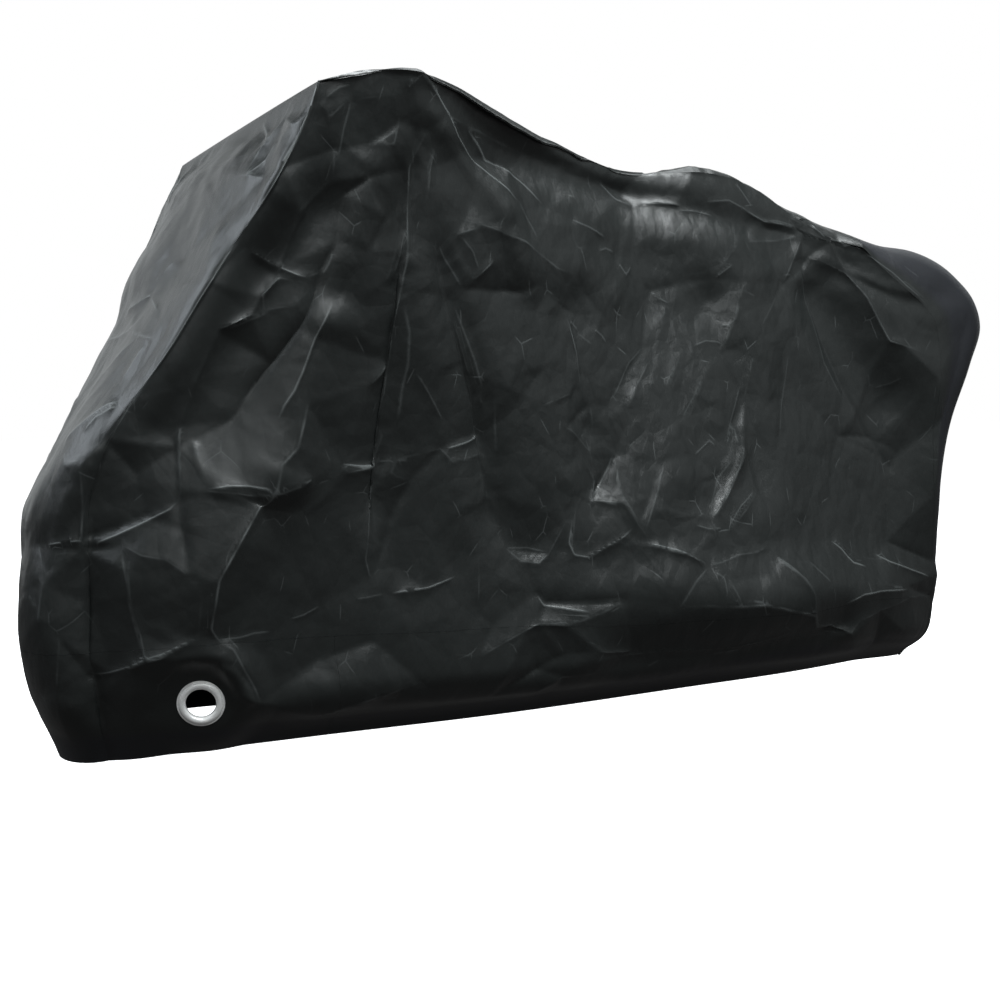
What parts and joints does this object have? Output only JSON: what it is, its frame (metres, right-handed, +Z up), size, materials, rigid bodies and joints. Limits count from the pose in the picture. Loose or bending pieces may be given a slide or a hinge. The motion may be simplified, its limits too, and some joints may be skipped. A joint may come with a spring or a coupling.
{
  "type": "bicycle cover",
  "caption": "Fitted bicycle cover of thin glossy coated cloth, hollow and open below, with lock eyelets near the nose.",
  "frame": {"origin": "the hang point, just under the top panel where the saddle bears the cloth", "axes": "-X toward the bicycle's front, +X toward its tail, -Y toward the near side in the picture, +Z up; the ground is 1.056 m below the origin"},
  "size_m": [1.933, 0.601, 1.0401],
  "materials": {
    "cloth": "glossy black coated cloth, creased",
    "hem_cloth": "black coated cloth, smoother, with a bluish tone",
    "eyelet_metal": "bright nickel plate, rolled edges"
  },
  "bodies": {
    "root": {"front_panel": "cloth", "top_panel": "cloth", "rear_panel": "cloth", "side_panel_near": "cloth", "side_panel_far": "cloth", "hem_strip_front": "hem_cloth", "hem_strip_rear": "hem_cloth", "eyelet_near": "eyelet_metal", "eyelet_far": "eyelet_metal"}
  },
  "joints": []
}
